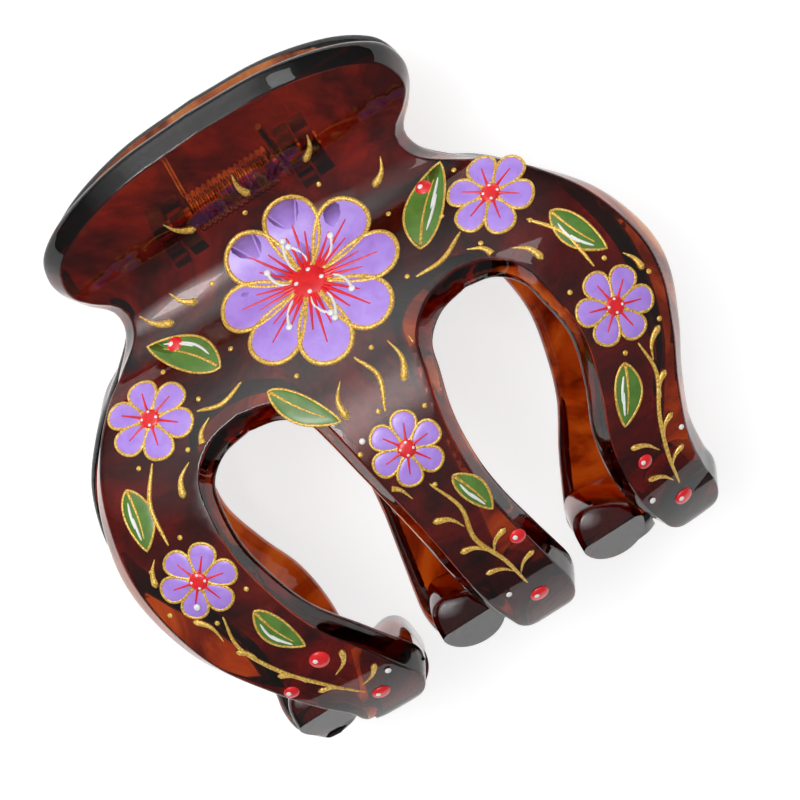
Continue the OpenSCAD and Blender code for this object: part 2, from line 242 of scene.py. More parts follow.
def filled(loop, gap=0.62):
    """Triangles over a loop, on a staggered grid of points inside it.

    The grid is cut from one that covers the whole pattern, and keeps clear of the loop's points."""
    across, rows = np.arange(-36, 37, gap), np.arange(-20, 66, gap * 0.87)
    grid = np.vstack([
        np.stack([across + (i % 2) * gap / 2, np.full(len(across), s)], -1) for i, s in enumerate(rows)
    ])
    grid = grid[inside(grid, loop)]
    near = np.array([np.min(np.sum((loop - p) ** 2, axis=1)) for p in grid])
    grid = grid[near > (0.5 * gap) ** 2]
    n = len(loop)
    points = [Vector(p) for p in np.vstack([loop, grid])]
    flat, _, faces, origin, *_ = delaunay_2d_cdt(points, [(i, (i + 1) % n) for i in range(n)], [], 1, 1e-5)
    order = [o[0] for o in origin]
    return grid, [tuple(order[v] for v in f) for f in faces]


def between(rings, n):
    """Faces that join each ring of n points to the next one."""
    return [
        (r * n + j, r * n + (j + 1) % n, (r + 1) * n + (j + 1) % n, (r + 1) * n + j)
        for r in range(rings - 1) for j in range(n)
    ]


def shell_mesh():
    """Points and faces of a bare jaw, with both faces filled."""
    n, points = len(pattern), []
    for inset, depth in EDGE:
        ring = pattern + inset * inward
        points.append(bent(ring[:, 0], ring[:, 1], np.full(n, depth)))
    faces = between(len(EDGE), n)
    for ring, depth in ((0, 0.0), (len(EDGE) - 1, 1.0)):
        grid, triangles = filled(pattern + EDGE[ring][0] * inward)
        start = sum(map(len, points)) - n
        faces += [tuple(ring * n + v if v < n else start + v for v in t) for t in triangles]
        points.append(bent(grid[:, 0], grid[:, 1], np.full(len(grid), depth)))
    return np.vstack(points), faces


def piece(name, points, faces):
    """A new object from points in millimetres."""
    mesh = bpy.data.meshes.new(name)
    mesh.from_pydata((np.asarray(points) * MM).tolist(), [], faces)
    shape = bmesh.new()
    shape.from_mesh(mesh)
    bmesh.ops.recalc_face_normals(shape, faces=shape.faces)
    shape.to_mesh(mesh)
    shape.free()
    made = bpy.data.objects.new(name, mesh)
    bpy.context.scene.collection.objects.link(made)
    return made


shell = piece("shell", *shell_mesh())
print("one bare shell:", len(shell.data.polygons), "faces")

# %% [markdown]
# ## Teeth and lugs
# Inside each prong's tip stands a short block with a rounded top, which reaches past the middle
# between the blocks of the other jaw and holds the hair. Its foot is cut off at a slope. On the
# plate's inner side stand two lugs for the pin. All are plain blocks, so they are joined to the
# shell and cut from it with booleans, which keep their edges as crisp as moulded ones. The
# last cut makes room for the other jaw's teeth and bores the hole for the pin.

# %% Blocks for the booleans
TOOTH_W, TOOTH_REACH, TOOTH_KEEL, TOOTH_GAP = 7.8, 4.8, 1.7, 0.4
TEETH = [(-10.6, -59.8), (8.1, -59.9), (27.3, -59.6)]  # right side, lowest point
TOOTH_BACK, TOOTH_ROOT = -56, 7.5  # where the half towards the tip starts, height of the root
SLIVER = 0.1  # what is left of that half above the foot
TOOTH_TOP = [(0, -56), (-0.2, -53.8), (-0.9, -52.4), (-2.4, -51.8), (-4.9, -52.4), (-7, -53.8), (-7.8, -56)]
TOOTH_END = [(0, 0.82), (0.15, 0.9), (0.5, 0.97), (1.1, 1)]  # height above its end, size there
RIDGE_IN, FOOT_TOP = -55.6, 3.4
PAST_TIP, ROOM_TOP, SLOPE_W = -66, -48, 16
PIN_R, PIN_FIT, BORE_LEN = 1.0, 0.05, 80
LUG_R, LUG_W = 2.8, 1.8
WIRE, TURNS = 0.75, 15
SPRING_W = (TURNS + 1) * WIRE + 0.3
LUG_NEAR = SPRING_W / 2 + 0.25
LUG_FAR = LUG_NEAR + LUG_W + 0.2


def prism(outline, start, length):
    """Points and faces of a (y, z) outline pushed along x."""
    n = len(outline)
    points = [(x, y, z) for x in (start, start + length) for y, z in outline]
    return points, [tuple(range(n)), tuple(range(2 * n - 1, n - 1, -1))] + between(2, n)


def gathered(name, parts):
    """One object from several (points, faces) pairs."""
    points, faces = [], []
    for p, f in parts:
        faces += [tuple(v + len(points) for v in face) for face in f]
        points += p
    return piece(name, points, faces)


def arc(r, start, end, steps):
    """Points of an arc about the origin, between two angles in degrees."""
    angles = np.radians(np.linspace(start, end, steps + 1))
    return [(r * math.cos(a), r * math.sin(a)) for a in angles]


def tooth(side, low):
    """A tooth from its rounded end up into the prong, as layers of one rounded shape."""
    middle, deep = side - TOOTH_W / 2, TOOTH_BACK - low
    foot = FOOT_TOP - sag(middle)
    layers = [(z - TOOTH_REACH, size, deep) for z, size in TOOTH_END]
    layers += [(foot, 1, deep), (foot, 1, SLIVER), (TOOTH_ROOT, 1, SLIVER)]
    points = []
    for z, size, down in layers:
        shape = [(x + TOOTH_W / 2, y - RIDGE_IN) for x, y in smooth_line(TOOTH_TOP, 8)]
        lower = arc(1, -180, 0, 32)[1:-1]
        shape += [(x * TOOTH_W / 2, y * down + TOOTH_BACK - RIDGE_IN) for x, y in lower]
        points += [(middle + x * size, RIDGE_IN + y * size, z) for x, y in shape]
    n = len(shape)
    ends = [tuple(range(n)), tuple(range(len(points) - 1, len(points) - n - 1, -1))]
    return points, between(len(layers), n) + ends


def foot_slope(side, low):
    """What the slope under a foot takes away, out to the prong's tip."""
    outline = [
        (low, TOOTH_KEEL), (RIDGE_IN, -TOOTH_REACH), (RIDGE_IN + 0.8, -TOOTH_REACH - 1),
        (PAST_TIP, -TOOTH_REACH - 1), (PAST_TIP, TOOTH_KEEL),
    ]
    return prism(outline, side - TOOTH_W / 2 - SLOPE_W / 2, SLOPE_W)


def tooth_room(side):
    """Room for the other jaw's tooth, which stands mirrored in x."""
    z0, z1 = -TOOTH_REACH - 2, TOOTH_REACH + TOOTH_GAP
    outline = [(PAST_TIP, z0), (ROOM_TOP, z0), (ROOM_TOP, z1), (PAST_TIP, z1)]
    return prism(outline, -side - TOOTH_GAP, TOOTH_W + 2 * TOOTH_GAP)


LUG = [(-5.2, 4.4)] + arc(LUG_R, -135, 18.8, 48) + [(0.8, 7.4), (-3, 6.4)]  # round the hinge axis
lugs = [prism(LUG, start, LUG_W) for start in (LUG_NEAR, -LUG_FAR - LUG_W)]
bore = prism(arc(PIN_R + PIN_FIT, 0, 354, 59), -BORE_LEN / 2, BORE_LEN)
added = gathered("added", [tooth(*t) for t in TEETH] + lugs)
slopes = gathered("slopes", [foot_slope(*t) for t in TEETH])
rooms = gathered("rooms", [tooth_room(t[0]) for t in TEETH] + [bore])


def joined(base, tool, operation):
    """Adds a boolean; they run in the order in which they are added."""
    change = base.modifiers.new(operation.title(), "BOOLEAN")
    change.operation, change.object, change.solver = operation, tool, "MANIFOLD"


for tool, operation in ((added, "UNION"), (slopes, "DIFFERENCE"), (rooms, "DIFFERENCE")):
    joined(shell, tool, operation)
jaw_mesh = bpy.data.meshes.new_from_object(shell.evaluated_get(bpy.context.evaluated_depsgraph_get()))
for tool in (shell, added, slopes, rooms):
    bpy.data.objects.remove(tool)
print("one jaw:", len(jaw_mesh.vertices), "points,", len(jaw_mesh.polygons), "faces")

# %% [markdown]
# ## Both jaws
# The two jaws come from one mould. The front one is the mesh as it is, moved to the hinge, and
# the back one is the same mesh turned half a turn about the length of the clip. Sharp edges are
# marked by their angle, so the long curves stay smooth and the ridges stay crisp.

# %% Place the jaws on their bodies
def off_packed_box(made, node):
    """Prints how far a piece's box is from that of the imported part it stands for."""
    low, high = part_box(node)
    own = np.array([v.co for v in made.data.vertices])
    print(made.name, "off its packed box by", np.abs([own.min(0) - low, own.max(0) - high]).max().round(5), "m")


def laid(mesh, name, node, body, turn):
    """A copy of the jaw, turned about the clip's length and moved to the hinge."""
    place = Matrix.Translation(HINGE * MM) @ Matrix.Rotation(turn, 4, "Y")
    made = bpy.data.objects.new(name, mesh.copy())
    made.data.transform(place)
    made.data.set_sharp_from_angle(angle=math.radians(32))
    for face in made.data.polygons:
        face.use_smooth = True
    bpy.context.scene.collection.objects.link(made)
    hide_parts(node)
    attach(made, body)
    return made


jaw_front = laid(jaw_mesh, "front_jaw", "jaw_front", "front", 0)
jaw_back = laid(jaw_mesh, "back_jaw", "jaw_back", "back", math.pi)
off_packed_box(jaw_front, "jaw_front")
off_packed_box(jaw_back, "jaw_back")

# %% [markdown]
# ## Geometry Nodes for what repeats
# The spring is a wound wire, the painted lines follow the jaw, and the painted dots repeat over
# it. Each is a small node tree with named inputs. A tree ends in Realize Instances and Set
# Material, and its result is turned into a plain mesh, so nothing depends on the tree later.

# %% Helpers for node trees
def new_tree(name, numbers=(), points_in=True):
    """An empty geometry tree with named number inputs, and its two end nodes."""
    tree = bpy.data.node_groups.new(name, "GeometryNodeTree")
    face = tree.interface
    if points_in:
        face.new_socket("Geometry", in_out="INPUT", socket_type="NodeSocketGeometry")
    for label, value in numbers:
        face.new_socket(label, in_out="INPUT", socket_type="NodeSocketFloat").default_value = value
    face.new_socket("Material", in_out="INPUT", socket_type="NodeSocketMaterial")
    face.new_socket("Geometry", in_out="OUTPUT", socket_type="NodeSocketGeometry")
    return tree, tree.nodes.new("NodeGroupInput"), tree.nodes.new("NodeGroupOutput")


def add(tree, kind, settings=None, **inputs):
    """A node with its settings; an input is a value or the socket that feeds it.

    An input is given by its name, or as _ and its number where two sockets share a name."""
    made = tree.nodes.new(kind)
    for name, value in (settings or {}).items():
        setattr(made, name, value)
    for name, value in inputs.items():
        socket = made.inputs[int(name[1:])] if name[0] == "_" else made.inputs[name.replace("_", " ")]
        if isinstance(value, bpy.types.NodeSocket):
            tree.links.new(value, socket)
        else:
            socket.default_value = value
    return made


def close(tree, group_in, group_out, geometry):
    """Ends a tree: real geometry, smooth shading and the material."""
    real = add(tree, "GeometryNodeRealizeInstances", Geometry=geometry)
    smooth = add(tree, "GeometryNodeSetShadeSmooth", _0=real.outputs[0], _2=True)
    finish = group_in.outputs["Material"]
    paint = add(tree, "GeometryNodeSetMaterial", Geometry=smooth.outputs[0], Material=finish)
    tree.links.new(paint.outputs[0], group_out.inputs["Geometry"])


def grown(name, tree, material, mesh=None, **numbers):
    """Runs a tree on a mesh and returns a plain object with the result."""
    holder = bpy.data.objects.new(name, mesh or bpy.data.meshes.new(name))
    bpy.context.scene.collection.objects.link(holder)
    change = holder.modifiers.new("Nodes", "NODES")
    change.node_group = tree
    for item in tree.interface.items_tree:
        label = item.name.lower()
        if item.in_out == "INPUT" and label == "material":
            change[item.identifier] = material
        elif item.in_out == "INPUT" and label in numbers:
            change[item.identifier] = float(numbers[label])
    dg = bpy.context.evaluated_depsgraph_get()
    result = bpy.data.meshes.new_from_object(holder.evaluated_get(dg), depsgraph=dg)
    holder.modifiers.clear()
    holder.data = result
    holder.data.name = name
    print(name, "has", len(result.polygons), "faces")
    return holder


# %% [markdown]
# ## Finishes
# The jaws are cellulose acetate in a dark tortoiseshell. Light that enters it is swallowed as it
# goes, blue and green first, so a thick wall is nearly black and a thin edge glows orange. An
# absorbing volume inside a clear, glossy surface does just that, with the wall's real thickness.
# Clouds of darker and brighter tint sit on the surface's own colour. The paint is a thick glossy
# enamel with faint brush ripples, and the gold has metal flakes in it. Every pattern reads the
# Object coordinates, in metres, so a noise of scale 1000 has blotches of about a millimetre.

# %% Material helpers
def material(name):
    """A new material, its node tree, and its shader and output nodes."""
    made = bpy.data.materials.new(name)
    made.use_nodes = True
    tree = made.node_tree
    return made, tree, tree.nodes["Principled BSDF"], tree.nodes["Material Output"]


def noise(tree, scale, detail=2.0, warp=0.0):
    """A cloudy pattern from 0 to 1 that stays with the piece."""
    place = add(tree, "ShaderNodeTexCoord").outputs["Object"]
    made = add(tree, "ShaderNodeTexNoise", Vector=place, Scale=scale, Detail=detail, Distortion=warp)
    return made.outputs["Fac"]


def ramp(tree, factor, stops):
    """A colour for each value of a factor, from (value, colour) stops."""
    made = add(tree, "ShaderNodeValToRGB", Fac=factor)
    band = made.color_ramp
    while len(band.elements) < len(stops):
        band.elements.new(0.5)
    for element, (at, colour) in zip(band.elements, stops):
        element.position, element.color = at, (*colour, 1)
    return made.outputs["Color"]


def relief(tree, shader, strength, depth, height):
    """Fine unevenness of a finish, depth metres high."""
    bump = add(tree, "ShaderNodeBump", Strength=strength, Distance=depth, Height=height)
    tree.links.new(bump.outputs[0], shader.inputs["Normal"])


def set_own(shader, **values):
    """Numbers set on the shader's own sockets."""
    for name, value in values.items():
        shader.inputs[name.replace("_", " ")].default_value = value


# %% The plastic, the paints and the steel
def tortoiseshell():
    made, tree, shader, out = material("tortoiseshell")
    stops = [(0.38, (0.24, 0.08, 0.05)), (0.5, (0.78, 0.5, 0.34)), (0.58, (1.0, 0.97, 0.92))]
    tree.links.new(ramp(tree, noise(tree, 48.0, 4.0, 3.0), stops), shader.inputs["Base Color"])
    set_own(shader, Transmission_Weight=1.0, Roughness=0.025, IOR=1.49)
    relief(tree, shader, 0.03, 0.0004, noise(tree, 160.0, 1.0))
    inside_it = add(tree, "ShaderNodeVolumeAbsorption", Color=(0.83, 0.48, 0.0, 1), Density=1250.0)
    tree.links.new(inside_it.outputs[0], out.inputs["Volume"])
    return made


def enamel(name, colour, deep):
    made, tree, shader, _ = material(name)
    stops = [(0.3, deep), (0.62, colour)]
    tree.links.new(ramp(tree, noise(tree, 700.0, 3.0, 0.6), stops), shader.inputs["Base Color"])
    set_own(shader, Roughness=0.32, Coat_Weight=0.35, Coat_Roughness=0.12)
    relief(tree, shader, 0.25, 0.00008, noise(tree, 1800.0, 2.0))
    return made


def gold():
    made, tree, shader, _ = material("gold_paint")
    flakes = noise(tree, 5200.0, 2.0)
    stops = [(0.32, (0.42, 0.22, 0.02)), (0.52, (0.85, 0.5, 0.07)), (0.7, (1.0, 0.82, 0.32))]
    tree.links.new(ramp(tree, flakes, stops), shader.inputs["Base Color"])
    set_own(shader, Metallic=0.3, Roughness=0.34)
    relief(tree, shader, 0.6, 0.00006, flakes)
    return made


def spring_steel():
    made, tree, shader, _ = material("spring_steel")
    stops = [(0.3, (0.72, 0.72, 0.73)), (0.7, (0.9, 0.9, 0.91))]
    tree.links.new(ramp(tree, noise(tree, 900.0, 4.0), stops), shader.inputs["Base Color"])
    set_own(shader, Metallic=1.0, Roughness=0.12)
    relief(tree, shader, 0.2, 0.00003, noise(tree, 4000.0, 2.0))
    return made


TORTOISESHELL, STEEL, GOLD = tortoiseshell(), spring_steel(), gold()
LAVENDER = enamel("lavender_paint", (0.45, 0.27, 0.83), (0.38, 0.21, 0.74))
RED = enamel("red_paint", (0.86, 0.012, 0.016), (0.68, 0.006, 0.016))
GREEN = enamel("green_paint", (0.10, 0.23, 0.03), (0.07, 0.17, 0.02))
WHITE = enamel("white_paint", (0.9, 0.9, 0.88), (0.8, 0.8, 0.79))
pin = frame["nodes"]["hinge_pin"]
for made, finish in ((jaw_front, TORTOISESHELL), (jaw_back, TORTOISESHELL), (pin, STEEL)):
    made.data.materials.clear()
    made.data.materials.append(finish)
print("finishes:", sorted(m.name for m in bpy.data.materials if m.users))

# %% [markdown]
# ## The spring
# The spring is one wire, wound turn against turn around the pin, with a straight leg at each end
# that pushes on the inner face of a thumb plate. A Spiral node winds the centre line, and Curve
# to Mesh gives it the wire's thickness. The last turn belongs to the front jaw, so it is a
# winding of its own that moves with that jaw.

# %% The tree that winds wire
SIDES = 14
WINDING_SIZES = [("Turns", 1.0), ("Radius", 0.002), ("Length", 0.01), ("Wire", 0.0004)]
winding, group_in, group_out = new_tree("Winding", WINDING_SIZES, False)
sizes = group_in.outputs
spiral = add(
    winding, "GeometryNodeCurveSpiral", Resolution=40, Rotations=sizes["Turns"],
    Start_Radius=sizes["Radius"], End_Radius=sizes["Radius"], Height=sizes["Length"], Reverse=False,
)
ring = add(winding, "GeometryNodeCurvePrimitiveCircle", Resolution=SIDES, Radius=sizes["Wire"])
wound = add(
    winding, "GeometryNodeCurveToMesh", Curve=spiral.outputs[0], Profile_Curve=ring.outputs[0], Fill_Caps=True,
)
close(winding, group_in, group_out, wound.outputs[0])

# %% Wind the spring
COIL_R, LEG_LEN, LEG_LEAN = 1.75, 9.0, math.radians(47)
SNUG = 1e-5  # metres; closes the hairline between turns, and keeps a single turn from being flat
BESIDE = 0.02  # millimetres by which the last turn is moved in from the spring's end
LEG_ROOT = 0.2  # millimetres of the leg inside its turn


def rod(start, end, r, sides=SIDES):
    """A straight round rod with closed ends."""
    start, end = Vector(start), Vector(end)
    turn = (end - start).to_track_quat("Z", "Y")
    angles = np.linspace(0, 2 * math.pi, sides, endpoint=False)
    ring = [turn @ Vector((r * math.cos(a), r * math.sin(a), 0)) for a in angles]
    points = [tuple(start + v) for v in ring] + [tuple(end + v) for v in ring]
    return points, [tuple(range(sides)), tuple(range(2 * sides - 1, sides - 1, -1))] + between(2, sides)


def spring_part(name, node, body, start, turns, side):
    """A winding from start along x and its leg; side is 1 for the front jaw and -1 for the back."""
    length = (turns - 1) * WIRE * MM if turns > 1 else SNUG
    coil = grown(
        name, winding, STEEL, turns=turns, radius=COIL_R * MM, length=length, wire=WIRE / 2 * MM + SNUG,
    )
    along_x = Matrix.Rotation(math.pi / 2, 4, "Y")
    first = start + WIRE / 2
    coil.data.transform(Matrix.Translation((first * MM, 0, 0)) @ along_x)
    foot = Vector((first, -COIL_R * math.sin(LEG_LEAN), side * COIL_R * math.cos(LEG_LEAN)))
    way = Vector((0, math.cos(LEG_LEAN), side * math.sin(LEG_LEAN)))
    leg = piece("leg", *rod(foot - LEG_ROOT * way, foot + LEG_LEN * way, WIRE / 2))
    leg.data.materials.append(STEEL)
    both = bmesh.new()
    both.from_mesh(coil.data)
    both.from_mesh(leg.data)
    both.to_mesh(coil.data)
    both.free()
    bpy.data.objects.remove(leg)
    coil.data.transform(Matrix.Translation(HINGE * MM))
    coil.data.set_sharp_from_angle(angle=math.radians(40))
    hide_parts(node)
    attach(coil, body)
    return coil


last_turn = SPRING_W / 2 - WIRE - BESIDE
back_spring = spring_part("spring_winding", "spring_coil", "back", -SPRING_W / 2, TURNS, -1)
front_spring = spring_part("spring_last_turn", "spring_leg", "front", last_turn, 1, 1)
off_packed_box(back_spring, "spring_coil")
off_packed_box(front_spring, "spring_leg")

# %% [markdown]
# ## Painting on the jaw
# The flowers are painted by hand in thick enamel. They could be a picture laid over the jaw, but
# real strokes stand up from the plastic and shine on their own, so each is thin raised geometry.
# A shape is drawn in the flat pattern and bent with the same formula as the jaw, with a small
# lift along the face's normal.

# %% Lay flat shapes on the front jaw
BED = 0.03  # how far the edge of a patch of paint lies under the face
SHARES = [0.12, 0.35, 0.6, 0.8, 0.92, 0.98, 1.0]


def on_jaw(points, lift=0.0):
    """Points (x, s) of the pattern on the front jaw's outer face, lifted in millimetres."""
    p = np.asarray(points, float)
    y, z, lean = outer_face(p[:, 1])
    x = p[:, 0]
    fall = np.sign(x) * np.maximum(np.abs(x) - FLAT_HALF, 0) / BOW_R
    normal = np.stack([fall * np.cos(lean), np.sin(lean), np.cos(lean)], -1)
    normal /= np.linalg.norm(normal, axis=1)[:, None]
    face = np.stack([x, y, z - sag(x)], -1) + np.array(HINGE)
    return face + normal * np.broadcast_to(lift, len(p))[:, None], normal


def patch(outline, centre, height):
    """A low crowned patch of paint: rings from the centre to just under the face at the outline."""
    outline, centre = np.asarray(outline, float), np.asarray(centre, float)
    n, points = len(outline), []
    for share in SHARES:
        ring = centre + (outline - centre) * share
        points.append(on_jaw(ring, height * (1 - share**6) - BED)[0])
    points.append(on_jaw([centre], height - BED)[0])
    points.append(on_jaw([centre], -2 * BED)[0])
    faces, top = between(len(SHARES), n), len(SHARES) * n
    rim = top - n
    faces += [(j, (j + 1) % n, top) for j in range(n)]
    faces += [(rim + (j + 1) % n, rim + j, top + 1) for j in range(n)]
    return np.vstack(points).tolist(), faces


def pointed(along, across, angle, centre):
    """Points (x, s) from their places along and across a direction, given in degrees."""
    c, d = math.cos(math.radians(angle)), math.sin(math.radians(angle))
    return np.stack([centre[0] + along * c - across * d, centre[1] + along * d + across * c], -1)


def sideways(way):
    """A way turned by a right angle, at its own length."""
    return np.array([-way[1], way[0]])


def petal(centre, angle, near, far, width, steps=40):
    """Outline of a petal that widens towards its tip."""
    t = np.linspace(0, 2 * math.pi, steps, endpoint=False)
    along = near + (far - near) * (0.5 - 0.5 * np.cos(t))
    across = width / 2 * np.sin(t) * (1 - 0.35 * np.cos(t))
    return pointed(along, across, angle, centre)


def leaf(base, tip, width, bow=0.0, steps=40):
    """Outline of a lance-shaped leaf, pointed at both ends."""
    base, tip = np.array(base, float), np.array(tip, float)
    n = steps // 2
    t = np.concatenate([np.linspace(0, 1, n, endpoint=False), np.linspace(1, 0, n, endpoint=False)])
    side = np.concatenate([np.ones(n), -np.ones(n)])
    half = width / 2 * np.sin(math.pi * t**0.85) ** 0.8
    way = tip - base
    cross = sideways(way) / np.linalg.norm(way)
    return base + t[:, None] * way + cross * (side * half + bow * np.sin(math.pi * t))[:, None]


def painted(name, colour, parts):
    """One piece of paint that moves with the front jaw."""
    made = gathered(name, parts)
    made.data.materials.append(colour)
    for face in made.data.polygons:
        face.use_smooth = True
    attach(made, "front")
    return made


# %% [markdown]
# ## The flowers
# One large flower of eight petals sits on the shoulder and small ones of six go down the prongs,
# with slim leaves between them. The petals are lavender with gold outlines, and the hearts are
# red. A flower is only a centre, a size and a number of petals, so a short table places them all.

# %% Petals, hearts and leaves
FLOWERS = [  # x, s, radius, petals, first angle
    (1.5, 8.2, 10.4, 8, 12), (-21.2, 12.6, 5.0, 6, 40), (23.2, 11.6, 5.0, 6, -20),
    (-25.9, 31.2, 4.3, 6, 10), (1.0, 30.6, 4.1, 6, 55), (28.0, 30.2, 4.3, 6, 80),
]
LEAVES = [  # base, tip, width, bow
    ((-11.6, 11.6), (-17.6, 4.0), 4.4, 0.7), ((13.6, 12.6), (20.4, 4.2), 4.6, -0.7),
    ((-8.4, 17.2), (-3.4, 24.4), 3.0, 0.5), ((-27.4, 18.6), (-29.0, 25.6), 3.2, -0.4),
    ((27.6, 17.6), (30.6, 24.6), 3.2, 0.4), ((-22.6, 37.2), (-20.2, 44.0), 3.0, 0.5),
    ((25.6, 36.0), (22.0, 42.2), 3.0, -0.4), ((3.6, 35.8), (5.2, 41.6), 2.6, -0.3),
]
PETAL_H, LEAF_H, HEART_H = 0.14, 0.13, 0.3
petals, outlines, hearts = [], [], []
for x, s, r, count, turn in FLOWERS:
    width = 2 * math.pi * r * 0.68 / count * (1.0 if count > 6 else 0.88)
    for k in range(count):
        shape = petal((x, s), turn + 360 * k / count, 0.18 * r, r, width)
        petals.append(patch(shape, shape.mean(0), PETAL_H))
        outlines.append((np.vstack([shape, shape[:1]]), 0.102 * r**0.5))
    heart = np.array([(x, s)]) + np.array(arc(0.2 * r + 0.25, 0, 345, 23))
    hearts.append(patch(heart, (x, s), HEART_H))
leaves = [patch(leaf(*row), (np.array(row[0]) + row[1]) / 2, LEAF_H) for row in LEAVES]
painted("paint_lavender", LAVENDER, petals)
painted("paint_hearts", RED, hearts)
painted("paint_leaves", GREEN, leaves)
print(len(petals), "petals,", len(hearts), "hearts and", len(leaves), "leaves")

# %% [markdown]
# ## Brush lines
# A liner brush leaves a rounded line that is full where it is pressed and thin where it lands and
# lifts. The tree below follows any path, takes its thickness from an attribute on the path's
# points, and gives it a round section. The path lies a little under the face, so only a low bead
# shows.

# %% Lines that follow a path
liner, group_in, group_out = new_tree("Brush line", [("Fullness", 1.0)])
path = add(liner, "GeometryNodeMeshToCurve", Mesh=group_in.outputs["Geometry"])
thick = add(liner, "GeometryNodeInputNamedAttribute", {"data_type": "FLOAT"}, Name="thick")
fullness = group_in.outputs["Fullness"]
full = add(liner, "ShaderNodeMath", {"operation": "MULTIPLY"}, _0=thick.outputs["Attribute"], _1=fullness)
section = add(liner, "GeometryNodeCurvePrimitiveCircle", Resolution=8, Radius=1.0)
bead = add(
    liner, "GeometryNodeCurveToMesh", Curve=path.outputs[0], Profile_Curve=section.outputs[0],
    Scale=full.outputs[0], Fill_Caps=True,
)
close(liner, group_in, group_out, bead.outputs[0])


def mark(mesh, name, kind, values):
    """Writes a value on every point of a mesh, for a tree to read by its name."""
    key = "vector" if kind == "FLOAT_VECTOR" else "value"
    mesh.attributes.new(name, kind, "POINT").data.foreach_set(key, np.asarray(values, np.float32).ravel())


def paths_mesh(name, paths, lift):
    """One mesh of edges from (points, thickness) pairs, sunk by half their thickness."""
    points, edges, thickness = [], [], []
    for line, size in paths:
        size = np.broadcast_to(size, len(line))
        start = len(points)
        points += on_jaw(line, lift - 0.5 * size)[0].tolist()
        edges += [(start + i, start + i + 1) for i in range(len(line) - 1)]
        thickness += size.tolist()
    mesh = bpy.data.meshes.new(name)
    mesh.from_pydata((np.array(points) * MM).tolist(), edges, [])
    mark(mesh, "thick", "FLOAT", np.array(thickness, np.float32) * MM)
    return mesh


SAFE = pattern + 1.75 * inward  # inside the ridge at the edge of the face


def on_face(line, size):
    """The first stretch of a line that stays clear of the jaw's edges."""
    out = np.flatnonzero(~inside(np.asarray(line), SAFE))
    end = out[0] if len(out) else len(line)
    return line[:end], size[:end]


def stroke(points, full):
    """A liner stroke through points, thin at both ends."""
    line = even_line(smooth_line(points, 16), 0.3)
    t = np.linspace(0, 1, len(line))
    return on_face(line, full * (0.3 + 0.7 * np.sin(math.pi * t) ** 0.6))


def comma(start, end, bow, full):
    """A bent drop: the brush lands softly, presses down and lifts at a round end."""
    start, end = np.array(start, float), np.array(end, float)
    way = end - start
    t = np.linspace(0, 1, 22)
    line = start + t[:, None] * way + sideways(way) * (bow * np.sin(math.pi * t) ** 1.2)[:, None]
    fade = np.clip((t - 0.82) / 0.18, 0, 1)
    return on_face(line, 1.35 * full * (0.12 + 0.88 * t**1.1) * np.sqrt(1 - 0.97 * fade**2))


# %% [markdown]
# ## Vines, drops and threads
# Gold vines run down the prongs with drops on both sides. Each leaf has an edge, a vein and two
# white glints, each petal has red rays, and white threads stand round the large heart. All are
# lines of the same tree, so only their paths and thicknesses are listed or worked out here.

